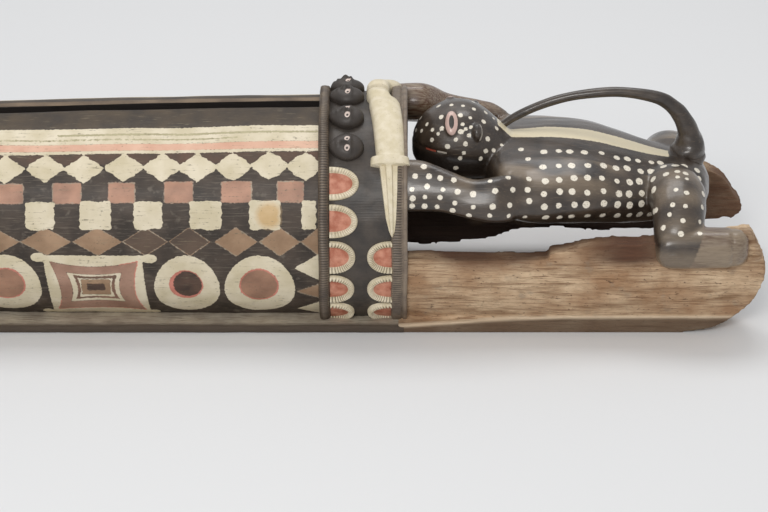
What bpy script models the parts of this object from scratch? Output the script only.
"""A great carved slit drum, made from one log.

The drum lies along X on its flat underside. Its belly is hollow and opens by a slit along the top.
A raised collar closes each end of the belly. Past the right collar the log is an open trough with
two side walls, and a leopard stretches over it, holding the collar and gripping the walls.

Metres, +Z up, +X towards the leopard's tail, origin under the middle of the box it fills.
"""

import math

import bmesh
import bpy
from mathutils import Vector


# Lengths along the log, from the plain end to the end of the trough
PLAIN_END_LENGTH = 0.349
BODY_LENGTH = 1.240
TROUGH_LENGTH = 1.149
INNER_RIM_WIDTH = 0.038
COLLAR_FIELD_WIDTH = 0.194
OUTER_RIM_WIDTH = 0.054

# The log's section: a half circle over a slightly deeper half ellipse, cut flat below
AXIS_HEIGHT = 0.314
BELLY_DEPTH = 1.07
BODY_RADIUS = 0.358
BODY_TAPER = 0.010
CROWN_DROP = 0.020
COLLAR_PROUD = 0.013
RIM_PROUD = 0.031
WING_PROUD = 0.016
LEDGE_HALF_WIDTH = 0.328
LEDGE_HEIGHT = 0.026
WING_LEDGE_HEIGHT = 0.060
WING_DEPTH = 1.35
END_ROUNDING = 0.030

# Hollows
WALL = 0.065
BULKHEAD = 0.200
SLIT_WIDTH = 0.050
SLIT_CLEARANCE = 0.015
WING_WALL = 0.070
TROUGH_FLOOR = 0.045
UNDER_COLLAR = 0.020

# The two side walls of the trough, heights measured from the log's axis
NEAR_WING_LOW = -0.027
NEAR_WING_STEP = 0.452
NEAR_WING_RISE = 0.130
NEAR_WING_HIGH = 0.018
NEAR_WING_PEAK = 0.070
END_SLANT = 0.057
END_SHOULDER = -0.068
LOWER_CORNER_RADIUS = 0.250
FAR_WING_TOP = -0.010
FAR_WING_BOTTOM = -0.185
FAR_WING_TONGUE = 0.130
BREAK_START = -0.004
BROKEN_FLOOR_EDGE = 0.165
SPLINTER = 0.014

# Carving on the collars
CARVING_PITCH = 18.5
HEAD_LENGTH = 0.112
HEAD_WIDTH = 0.086
HEAD_HEIGHT = 0.040
HALF_OVAL_DEPTH = 0.088
HALF_OVAL_WIDTH = 0.108
HALF_OVAL_BORDER = 0.014
HALF_OVAL_HEIGHT = 0.014
OUTER_OVAL_DEPTH = 0.078
DAGGER_HEIGHT = 0.036
DAGGER_TOP_ANGLE = 93.0
DAGGER_TIP_ANGLE = 9.0
BACK_DAGGER_TOP_ANGLE = 82.0
SINK = 0.010

# The leopard, as shares of the trough's length, its width and heights from the log's axis
SKULL_SHARE = 0.141
SKULL_RISE = 0.231
SKULL_RADIUS = 0.130
SKULL_HALF_LENGTH = 0.146
EYE_ANGLE = 48.0
EAR_ANGLE = 36.0
ARM_HALF_WIDTH = 0.084
ARM_HALF_THICKNESS = 0.043
ARM_RISE = 34.0
FOOT_PROUD = 0.048
FOOT_HALF_HEIGHT = 0.065
FOOT_RISE = 0.012
FAR_LEG_DROP = 0.033
FAR_LEG_BACK = 0.009
TAIL_OFFSET = 0.040

LOG_SIDES = 44
HOLLOW_SIDES = 32

COLLAR_RADIUS = BODY_RADIUS + COLLAR_PROUD
RIM_RADIUS = BODY_RADIUS + RIM_PROUD
WING_RADIUS = BODY_RADIUS + WING_PROUD
COLLAR_WIDTH = INNER_RIM_WIDTH + COLLAR_FIELD_WIDTH + OUTER_RIM_WIDTH
LENGTH = PLAIN_END_LENGTH + BODY_LENGTH + TROUGH_LENGTH + 2 * COLLAR_WIDTH
LEFT_END = -LENGTH / 2
RIGHT_END = LENGTH / 2
BACK_COLLAR_START = LEFT_END + PLAIN_END_LENGTH
BODY_START = BACK_COLLAR_START + COLLAR_WIDTH
BODY_END = BODY_START + BODY_LENGTH
COLLAR_END = BODY_END + COLLAR_WIDTH
CHAMBER_START = BODY_START
CHAMBER_END = COLLAR_END - BULKHEAD
OUT_OF_THE_WAY = 0.70
MERGE = 0.00001


def thinning(x):
    """How far the belly has thinned at x: 0 at the leopard's collar, 1 from the other collar on."""
    return min(1.0, (BODY_END - x) / BODY_LENGTH) ** 1.5


def on_log(x, angle, radius, depth=BELLY_DEPTH, crown=1.0):
    """A point at an angle in degrees up from the near side, on a ring of the log's section."""
    turn = math.radians(angle)
    stretch = crown if math.sin(turn) > 0 else depth
    return Vector((x, -radius * math.cos(turn), AXIS_HEIGHT + radius * stretch * math.sin(turn)))


def arch(x, radius, floor_z, count, depth=BELLY_DEPTH, crown=1.0):
    """The log's section at x as an open row of points, from the near floor corner over the top."""
    reach = min(1.0, (AXIS_HEIGHT - floor_z) / (radius * depth))
    low = math.degrees(math.asin(reach))
    return [on_log(x, -low + (180 + 2 * low) * i / count, radius, depth, crown) for i in range(count + 1)]


def belly_ring(x, thin):
    """One ring of the belly, narrower and flatter on top as it thins."""
    crown = 1 - CROWN_DROP * thin / BODY_RADIUS
    radius = BODY_RADIUS - BODY_TAPER * thin
    edge = LEDGE_HALF_WIDTH
    near = [Vector((x, -edge, 0)), Vector((x, -edge, LEDGE_HEIGHT))]
    far = [Vector((x, edge, LEDGE_HEIGHT)), Vector((x, edge, 0))]
    return near + arch(x, radius, LEDGE_HEIGHT, LOG_SIDES, BELLY_DEPTH, crown) + far


def wing_ring(x, radius, flare):
    """One ring of the log past the collar; flare fills the section out to the ledge's edge."""
    depth = BELLY_DEPTH + (WING_DEPTH - BELLY_DEPTH) * flare
    ledge = LEDGE_HEIGHT + (WING_LEDGE_HEIGHT - LEDGE_HEIGHT) * flare
    edge = LEDGE_HALF_WIDTH
    near = [Vector((x, -edge, 0)), Vector((x, -edge, ledge))]
    far = [Vector((x, edge, ledge)), Vector((x, edge, 0))]
    return near + arch(x, radius, ledge, LOG_SIDES, depth) + far


def ellipse_ring(centre, across, up, sides, power=1.0):
    """A ring round a centre, spanned by two half-axis vectors; power under 1 squares it."""
    ring = []
    for i in range(sides):
        turn = 2 * math.pi * i / sides
        cosine, sine = math.cos(turn), math.sin(turn)
        wide = math.copysign(abs(cosine) ** power, cosine)
        tall = math.copysign(abs(sine) ** power, sine)
        ring.append(centre + across * wide + up * tall)
    return ring


def loft(bm, rings):
    """Skin a row of equal rings and cap both ends."""
    rows = [[bm.verts.new(point) for point in ring] for ring in rings]
    count = len(rows[0])
    for one, two in zip(rows, rows[1:]):
        for i in range(count):
            j = (i + 1) % count
            bm.faces.new((one[i], one[j], two[j], two[i]))
    bm.faces.new(rows[0])
    bm.faces.new(rows[-1])


def add_object(name, bm):
    """Turn a bmesh into a closed, outward-facing object."""
    bmesh.ops.remove_doubles(bm, verts=bm.verts, dist=MERGE)
    bmesh.ops.recalc_face_normals(bm, faces=bm.faces)
    bmesh.ops.triangulate(bm, faces=[face for face in bm.faces if len(face.verts) > 4])
    mesh = bpy.data.meshes.new(name)
    bm.to_mesh(mesh)
    bm.free()
    made = bpy.data.objects.new(name, mesh)
    bpy.context.scene.collection.objects.link(made)
    return made


def lofted(name, rings):
    """One lofted object."""
    bm = bmesh.new()
    loft(bm, rings)
    return add_object(name, bm)


def carve(log, tool, operation):
    """Add or take away a guide solid with a Boolean that stays on the log."""
    tool.hide_render = True
    tool.display_type = "WIRE"
    step = log.modifiers.new(tool.name, "BOOLEAN")
    step.operation = operation
    step.solver = "EXACT"
    step.object = tool


# The log with its collars
def make_log():
    """The whole log without its collars; the steps to the trough hide under the collars."""
    steps = 5
    rounded = 1 + END_ROUNDING / (BODY_TAPER + CROWN_DROP)
    rings = [belly_ring(LEFT_END, rounded), belly_ring(LEFT_END + END_ROUNDING, 1.0)]
    rings += [belly_ring(x, thinning(x)) for x in
              (BODY_START + BODY_LENGTH * i / steps for i in range(steps + 1))]
    rings.append(wing_ring(COLLAR_END - OUTER_RIM_WIDTH / 2, WING_RADIUS, 0.0))
    for share, flare in ((0.14, 0.45), (0.45, 0.9), (1.0, 1.0)):
        rings.append(wing_ring(COLLAR_END + TROUGH_LENGTH * share, WING_RADIUS, flare))
    return lofted("carved_drum", rings)


def make_band(name, start, width, radius):
    """A plain hoop of wood standing on the log, down to the ledge."""
    return lofted(name, [arch(x, radius, LEDGE_HEIGHT / 2, LOG_SIDES) for x in (start, start + width)])


def make_bands():
    """Each collar is a sunk field between two rims."""
    bands = []
    for name, start, first, last in (("left", BACK_COLLAR_START, OUTER_RIM_WIDTH, INNER_RIM_WIDTH),
                                     ("right", BODY_END, INNER_RIM_WIDTH, OUTER_RIM_WIDTH)):
        end = start + COLLAR_WIDTH
        bands.append(make_band(name + "_field", start + first / 2, end - start - (first + last) / 2,
                               COLLAR_RADIUS))
        bands.append(make_band(name + "_first_rim", start, first, RIM_RADIUS))
        bands.append(make_band(name + "_last_rim", end - last, last, RIM_RADIUS))
    return bands


# Sound chamber, slit and trough
def make_chamber():
    full = BODY_RADIUS - WALL
    crown = 1 - CROWN_DROP / full
    return lofted("chamber_hollow", [
        arch(CHAMBER_START, full - BODY_TAPER, WALL, HOLLOW_SIDES, BELLY_DEPTH, crown),
        arch(BODY_END, full, WALL, HOLLOW_SIDES),
        arch(CHAMBER_END, full, WALL, HOLLOW_SIDES),
    ])


def make_slit():
    half = SLIT_WIDTH / 2
    top = AXIS_HEIGHT + OUT_OF_THE_WAY
    rings = []
    for x in (CHAMBER_START + SLIT_CLEARANCE, BODY_END - SLIT_CLEARANCE):
        rings.append([Vector((x, -half, AXIS_HEIGHT)), Vector((x, half, AXIS_HEIGHT)),
                      Vector((x, half, top)), Vector((x, -half, top))])
    return lofted("slit", rings)


def make_trough():
    inner = WING_RADIUS - WING_WALL
    return lofted("trough_hollow", [arch(x, inner, TROUGH_FLOOR, HOLLOW_SIDES)
                                    for x in (COLLAR_END - UNDER_COLLAR / 2, RIGHT_END + WALL)])


def end_wall_cutter(name, outline, y_low, y_high):
    """What lies over and past a side wall's outline in the XZ plane."""
    top = AXIS_HEIGHT + OUT_OF_THE_WAY
    past = RIGHT_END + OUT_OF_THE_WAY
    corners = outline + [(past, outline[-1][1]), (past, top), (outline[0][0], top)]
    return lofted(name, [[Vector((x, y, z)) for x, z in corners] for y in (y_low, y_high)])


def near_outline():
    """The near wall's top edge and its end, down round the lower corner."""
    step = COLLAR_END + NEAR_WING_STEP
    axis = AXIS_HEIGHT
    peak_x = RIGHT_END - END_SLANT
    points = [
        (COLLAR_END - UNDER_COLLAR, axis + NEAR_WING_LOW),
        (step, axis + NEAR_WING_LOW),
        (step + SPLINTER / 2, axis + NEAR_WING_HIGH - SPLINTER),
        (step + NEAR_WING_RISE, axis + NEAR_WING_HIGH),
        ((step + peak_x) / 2, axis + NEAR_WING_HIGH + SPLINTER / 2),
        ((step + 3 * peak_x) / 4, axis + (2 * NEAR_WING_HIGH + 3 * NEAR_WING_PEAK) / 5),
        (peak_x, axis + NEAR_WING_PEAK),
        (RIGHT_END, axis + END_SHOULDER),
    ]
    corner = min(LOWER_CORNER_RADIUS, axis + END_SHOULDER - SPLINTER / 2)
    sides = 7
    for i in range(1, sides + 1):
        turn = math.radians(90 * i / sides)
        points.append((RIGHT_END - corner + corner * math.cos(turn), corner - corner * math.sin(turn)))
    points.append((RIGHT_END - corner, -WALL))
    return points


def far_outline():
    """The far wall's top edge and its rounded, broken tongue."""
    top = AXIS_HEIGHT + FAR_WING_TOP
    bottom = AXIS_HEIGHT + FAR_WING_BOTTOM
    shoulder = RIGHT_END - FAR_WING_TONGUE
    points = [(COLLAR_END - UNDER_COLLAR * 0.75, top), (shoulder, top)]
    sides = 6
    for i in range(1, sides + 1):
        turn = math.radians(90 * i / sides)
        out = math.sin(turn) ** 0.9
        points.append((shoulder + FAR_WING_TONGUE * out,
                       bottom + SPLINTER * 3 + (top - bottom - SPLINTER * 3) * math.cos(turn)))
    points.append((RIGHT_END - 2 * SPLINTER, bottom))
    points.append((RIGHT_END - 6 * SPLINTER, bottom - SPLINTER))
    return points


def make_break():
    """The lost far side of the floor: a ragged inner edge, and the far wall's ragged lower edge."""
    start = COLLAR_END + BREAK_START
    floor = AXIS_HEIGHT * BELLY_DEPTH
    span = RIGHT_END + WALL - start
    low = AXIS_HEIGHT + FAR_WING_BOTTOM
    stops = [(0.0, -0.5, 0.53), (0.15, 0.6, 0.54), (0.16, 1.0, 0.59), (0.25, -0.4, 0.65),
             (0.285, 0.2, 0.74), (0.30, 0.9, 0.81), (0.42, -0.5, 0.86), (0.51, 0.8, 0.82),
             (0.68, -1.0, 0.84), (0.83, 0.3, 1.0), (1.0, 0.5, 1.05)]
    rings = []
    for share, jag, height in stops:
        x = start + span * share
        y = BROKEN_FLOOR_EDGE + SPLINTER * jag
        height *= low
        rings.append([Vector((x, y, -floor)), Vector((x, OUT_OF_THE_WAY, -floor)),
                      Vector((x, OUT_OF_THE_WAY, height)), Vector((x, y, height))])
    return lofted("lost_floor", rings)


# The leopard
def along(share):
    """X at a share of the trough's length past the collar."""
    return COLLAR_END + TROUGH_LENGTH * share


def leopard_body():
    """Ribs, waist and rump: (share of the trough, height of the middle, half width, half height)."""
    stops = [(0.225, 0.150, 0.120, 0.060), (0.250, 0.140, 0.235, 0.098), (0.290, 0.134, 0.318, 0.116),
             (0.350, 0.126, 0.326, 0.128), (0.420, 0.124, 0.312, 0.135), (0.520, 0.118, 0.288, 0.132),
             (0.610, 0.100, 0.251, 0.124), (0.688, 0.085, 0.205, 0.114), (0.745, 0.078, 0.185, 0.105),
             (0.800, 0.072, 0.165, 0.095), (0.840, 0.068, 0.120, 0.072), (0.860, 0.066, 0.060, 0.040)]
    rings = [ellipse_ring(Vector((along(share), 0, AXIS_HEIGHT + middle)),
                          Vector((0, -width, 0)), Vector((0, 0, height)), 20)
             for share, middle, width, height in stops]
    return lofted("leopard_body", rings)


def skull_middle():
    """The middle of the leopard's head."""
    return Vector((along(SKULL_SHARE), 0, AXIS_HEIGHT + SKULL_RISE))


def leopard_head():
    """An egg with a blunt muzzle, facing the collar, on a short thick neck."""
    middle = skull_middle()
    stops = [(-1.00, 0.16, -0.10), (-0.94, 0.36, -0.08), (-0.78, 0.63, -0.05), (-0.52, 0.85, -0.02),
             (-0.18, 0.985, 0.0), (0.15, 1.0, 0.0), (0.45, 0.95, -0.04), (0.75, 0.80, -0.16),
             (1.05, 0.66, -0.34), (1.35, 0.52, -0.52)]
    rings = []
    for share, size, drop in stops:
        centre = middle + Vector((SKULL_HALF_LENGTH * share, 0, SKULL_RADIUS * drop))
        rings.append(ellipse_ring(centre, Vector((0, -SKULL_RADIUS * size, 0)),
                                  Vector((0, 0, SKULL_RADIUS * size)), 18))
    return lofted("leopard_head", rings)


def egg(bm, centre, along_axis, across, up, rows=4, sides=8):
    """A small closed egg spanned by three half-axis vectors."""
    rings = []
    for i in range(1, rows + 1):
        turn = math.pi * i / (rows + 1)
        rings.append(ellipse_ring(centre - along_axis * math.cos(turn), across * math.sin(turn),
                                  up * math.sin(turn), sides))
    loft(bm, rings)


def lens_on_skull(bm, angle, back, half_length, half_width, proud):
    """A low lens whose long way runs round the skull, at an angle up from the side."""
    turn = math.radians(angle)
    out = Vector((0, -math.cos(turn), math.sin(turn)))
    round_skull = Vector((0, out.z, -out.y))
    centre = skull_middle() + out * (SKULL_RADIUS - proud / 4) + Vector((back, 0, 0))
    egg(bm, centre, round_skull * half_length, Vector((half_width, 0, 0)), out * proud)


def leopard_features():
    """Eyes and ears: low lens shapes on the skull."""
    bm = bmesh.new()
    for mirror in (False, True):
        for angle, back, half_length, half_width, proud in ((EYE_ANGLE, -0.020, 0.044, 0.019, 0.011),
                                                            (EAR_ANGLE, 0.062, 0.032, 0.018, 0.016)):
            lens_on_skull(bm, 180 - angle if mirror else angle, back, half_length, half_width, proud)
    return add_object("leopard_features", bm)


def leopard_arm(side):
    """A flat foreleg along the log's outer skin to the collar; the far paw lies higher, on the rim."""
    radius = WING_RADIUS - ARM_HALF_THICKNESS * 0.7
    near = [(-0.01, 0.0, 1.0, 0.90), (0.04, 0.0, 0.97, 0.95), (0.10, -2.5, 0.84, 1.0),
            (0.18, -7.0, 0.76, 1.05), (0.25, -7.0, 0.88, 1.05), (0.31, -5.0, 0.85, 0.88),
            (0.36, -1.0, 0.60, 0.60), (0.39, 2.0, 0.30, 0.30)]
    far = [(-0.035, 18.0, 0.90, 1.40), (0.05, 17.0, 1.0, 1.40), (0.12, 5.0, 0.95, 1.05),
           (0.21, -3.0, 0.95, 1.0), (0.27, -5.0, 0.85, 0.80), (0.32, -6.0, 0.55, 0.50),
           (0.345, -6.0, 0.30, 0.30)]
    rings = []
    for share, turn, width, thick in (far if side > 0 else near):
        rise = math.radians(ARM_RISE + turn)
        out = Vector((0, side * math.cos(rise), math.sin(rise)))
        around = Vector((0, -side * math.sin(rise), math.cos(rise)))
        centre = Vector((along(share), 0, AXIS_HEIGHT)) + out * radius
        rings.append(ellipse_ring(centre, around * (ARM_HALF_WIDTH * width),
                                  out * (ARM_HALF_THICKNESS * thick), 12, 0.85))
    return lofted("leopard_arm_" + ("far" if side > 0 else "near"), rings)


def leopard_leg(side):
    """Haunch, thigh and knee, out over the top of the side wall; reach as a share of the wall's radius."""
    drop = FAR_LEG_DROP if side > 0 else 0.0
    back = FAR_LEG_BACK if side > 0 else 0.0
    stops = [(0.05, 0.728, 0.075, 0.030, 0.030), (0.27, 0.742, 0.108, 0.086, 0.080),
             (0.51, 0.755, 0.118, 0.094, 0.084), (0.72, 0.757, 0.096, 0.088, 0.075),
             (0.87, 0.754, 0.062, 0.080, 0.062), (0.976, 0.746, 0.022, 0.070, 0.052),
             (1.056, 0.738, -0.010, 0.055, 0.038)]
    rings = []
    for reach, share, rise, half_x, half_z in stops:
        slope = math.radians(65) * max(0.0, (reach - 0.51) / 0.55)
        centre = Vector((along(share) + back, side * reach * WING_RADIUS, AXIS_HEIGHT + rise - drop))
        up = Vector((0, side * math.sin(slope), math.cos(slope)))
        rings.append(ellipse_ring(centre, Vector((half_x, 0, 0)), up * half_z, 14))
    return lofted("leopard_leg_" + ("far" if side > 0 else "near"), rings)


def leopard_foot(side):
    """A foot laid back along the wall's outer face; the far one is short and lower."""
    near = [(0.690, 0.45, 0.50), (0.706, 0.88, 0.86), (0.740, 1.0, 1.0), (0.878, 0.95, 0.97),
            (0.893, 0.86, 0.93), (0.902, 0.66, 0.88), (0.912, 0.78, 0.90), (0.930, 0.60, 0.84),
            (0.944, 0.30, 0.66)]
    far = [(0.700, 0.40, 0.50), (0.725, 0.90, 0.90), (0.780, 0.95, 0.95), (0.812, 0.70, 0.85),
           (0.830, 0.30, 0.55)]
    drop = FAR_LEG_DROP * 1.6 if side > 0 else 0.0
    buried = FOOT_PROUD / 4
    rings = []
    for share, proud, tall in (far if side > 0 else near):
        centre = Vector((along(share), side * (WING_RADIUS - buried), AXIS_HEIGHT + FOOT_RISE - drop))
        rings.append(ellipse_ring(centre, Vector((0, side * (FOOT_PROUD * proud + buried), 0)),
                                  Vector((0, 0, FOOT_HALF_HEIGHT * tall)), 12, 0.9))
    return lofted("leopard_foot_" + ("far" if side > 0 else "near"), rings)


def leopard_tail():
    """Up from a bell-shaped root, over the back and down to the nape, thinning all the way."""
    stops = [(0.802, 0.110, 0.052), (0.803, 0.158, 0.060), (0.804, 0.176, 0.058), (0.807, 0.203, 0.050),
             (0.804, 0.236, 0.038), (0.795, 0.264, 0.033), (0.783, 0.290, 0.0295),
             (0.763, 0.322, 0.026), (0.728, 0.352, 0.0225), (0.680, 0.370, 0.0195),
             (0.610, 0.380, 0.017), (0.540, 0.378, 0.016), (0.468, 0.366, 0.015),
             (0.395, 0.342, 0.0145), (0.325, 0.305, 0.0135), (0.270, 0.262, 0.0125),
             (0.240, 0.225, 0.0115)]
    spine = [Vector((along(share), TAIL_OFFSET, AXIS_HEIGHT + rise)) for share, rise, _ in stops]
    rings = []
    for i, (_, _, thick) in enumerate(stops):
        ahead = spine[min(i + 1, len(spine) - 1)] - spine[max(i - 1, 0)]
        across = Vector((0, 1, 0))
        up = ahead.normalized().cross(across)
        rings.append(ellipse_ring(spine[i], across * thick, up * thick, 9))
    return lofted("leopard_tail", rings)


# Carving on the collars
def relief(bm, levels, radius):
    """Nested outlines of (x, distance round the log, height), wrapped on to the log and skinned."""
    rings = []
    for outline in levels:
        ring = []
        for x, angle, run, height in outline:
            ring.append(on_log(x, angle + math.degrees(run / radius), radius + height))
        rings.append(ring)
    loft(bm, rings)


def half_oval(bm, flat_x, direction, angle, size):
    """A raised border round a sunk half oval whose flat side is buried in a rim."""
    border = HALF_OVAL_BORDER
    levels = []
    sides = 8
    for inset, height in ((0, -SINK), (0, HALF_OVAL_HEIGHT * 0.7), (border * 0.4, HALF_OVAL_HEIGHT),
                          (border, HALF_OVAL_HEIGHT * 0.35)):
        outline = []
        for i in range(sides + 1):
            turn = math.radians(-90 + 180 * i / sides)
            deep = (size - inset) * math.cos(turn) if 0 < i < sides else -SINK
            outline.append((flat_x + direction * deep, angle,
                            (HALF_OVAL_WIDTH / 2 - inset) * math.sin(turn), height))
        levels.append(outline)
    relief(bm, levels, COLLAR_RADIUS)


def carved_head(bm, middle_x, angle):
    """A small head in the round of its relief: brow, nose, mouth and a rounded crown."""
    sides = 14
    levels = []
    for size, height in ((1.0, -SINK), (1.0, 0.18), (0.90, 0.52), (0.70, 0.80), (0.42, 0.96), (0.14, 1.0)):
        outline = []
        for i in range(sides):
            turn = 2 * math.pi * i / sides
            u = size * math.cos(turn)
            v = size * math.sin(turn)
            taper = 1.0 - 0.16 * max(0.0, u)
            tall = height if height < 0 else HEAD_HEIGHT * (height + face_relief(u, v))
            outline.append((middle_x + u * HEAD_LENGTH / 2, angle, v * taper * HEAD_WIDTH / 2, tall))
        levels.append(outline)
    relief(bm, levels, COLLAR_RADIUS)


def face_relief(u, v):
    """Nose, brow and lips as a share of the head's height; the chin lies towards +u."""
    nose = 0.26 * math.exp(-((u - 0.12) / 0.26) ** 2 - (v / 0.20) ** 2)
    brow = 0.10 * math.exp(-((u + 0.22) / 0.12) ** 2 - (v / 0.7) ** 2)
    lips = 0.10 * math.exp(-((u - 0.58) / 0.12) ** 2 - (v / 0.35) ** 2)
    return nose + brow + lips


def dagger(name, top_angle, back):
    """A dagger in relief down the collar: pommel, stout grip, guard and a ridged blade."""
    stops = [(0.00, -0.093, 0.028, 0.75), (0.03, -0.096, 0.037, 1.05), (0.08, -0.092, 0.039, 1.10),
             (0.11, -0.080, 0.044, 0.95), (0.16, -0.073, 0.050, 0.98), (0.34, -0.062, 0.049, 1.05),
             (0.495, -0.054, 0.046, 1.05), (0.51, -0.059, 0.060, 1.15), (0.57, -0.059, 0.059, 1.10),
             (0.585, -0.058, 0.033, 0.85), (0.75, -0.057, 0.029, 0.80), (0.90, -0.053, 0.021, 0.75),
             (1.00, -0.049, 0.005, 0.60)]
    section = [(-1, None), (-1, 0.50), (-0.55, 0.78), (0, 1.0), (0.55, 0.78), (1, 0.50), (1, None)]
    rings = []
    for share, shift, half, tall in stops:
        angle = top_angle + (DAGGER_TIP_ANGLE - top_angle) * share
        ring = []
        for across, lift in section:
            height = -SINK if lift is None else DAGGER_HEIGHT * tall * lift
            ring.append(on_log(COLLAR_END + shift + across * half, 180 - angle if back else angle,
                               COLLAR_RADIUS + height))
        rings.append(ring)
    return lofted(name, rings)


def make_collar_carving():
    """Heads over the top and half ovals down both sides of the leopard's collar."""
    bm = bmesh.new()
    inner_flat = BODY_END + INNER_RIM_WIDTH
    outer_flat = COLLAR_END - OUTER_RIM_WIDTH
    for i in range(5):
        carved_head(bm, inner_flat + HEAD_LENGTH / 2 - SINK / 2, 90 + CARVING_PITCH * (i - 2))
    first = 90 - 3 * CARVING_PITCH
    for back in (False, True):
        for i in range(5):
            angle = first - CARVING_PITCH * i
            angle = 180 - angle if back else angle
            half_oval(bm, inner_flat, 1, angle, HALF_OVAL_DEPTH)
            if i > 1:
                half_oval(bm, outer_flat, -1, angle, OUTER_OVAL_DEPTH)
    return add_object("collar_carving", bm)


def make_back_collar_carving():
    """The second collar is plainer: one row of half ovals over the top and the sides."""
    bm = bmesh.new()
    count = 8
    for i in range(count):
        angle = 90 + CARVING_PITCH * (i - (count - 1) / 2)
        half_oval(bm, BODY_START - INNER_RIM_WIDTH, -1, angle, HALF_OVAL_DEPTH)
    return add_object("back_collar_carving", bm)


def drum_material():
    """Old dark paint over wood."""
    wood = bpy.data.materials.new("painted_iroko")
    wood.use_nodes = True
    shader = wood.node_tree.nodes["Principled BSDF"]
    shader.inputs["Base Color"].default_value = (0.115, 0.085, 0.062, 1.0)
    shader.inputs["Roughness"].default_value = 0.62
    shader.inputs["Metallic"].default_value = 0.0
    return wood


def build():
    for old in list(bpy.data.objects):
        bpy.data.objects.remove(old, do_unlink=True)
    log = make_log()
    split = BROKEN_FLOOR_EDGE + 2 * SPLINTER
    open_end = [make_trough(),
                end_wall_cutter("over_the_near_wall", near_outline(), -OUT_OF_THE_WAY, split),
                end_wall_cutter("over_the_far_wall", far_outline(), split - SPLINTER / 2,
                                OUT_OF_THE_WAY * 0.9),
                make_break()]
    for tool in open_end:
        carve(log, tool, "DIFFERENCE")
    for band in make_bands():
        carve(log, band, "UNION")
    for tool in (make_chamber(), make_slit()):
        carve(log, tool, "DIFFERENCE")
    forms = [leopard_body(), leopard_head()]
    for side in (-1, 1):
        forms += [leopard_arm(side), leopard_foot(side), leopard_leg(side)]
    forms += [leopard_tail(), leopard_features(), make_collar_carving(), make_back_collar_carving(),
              dagger("front_dagger", DAGGER_TOP_ANGLE, False),
              dagger("back_dagger", BACK_DAGGER_TOP_ANGLE, True)]
    for form in forms:
        carve(log, form, "UNION")
    log.data.materials.append(drum_material())
    return log


build()
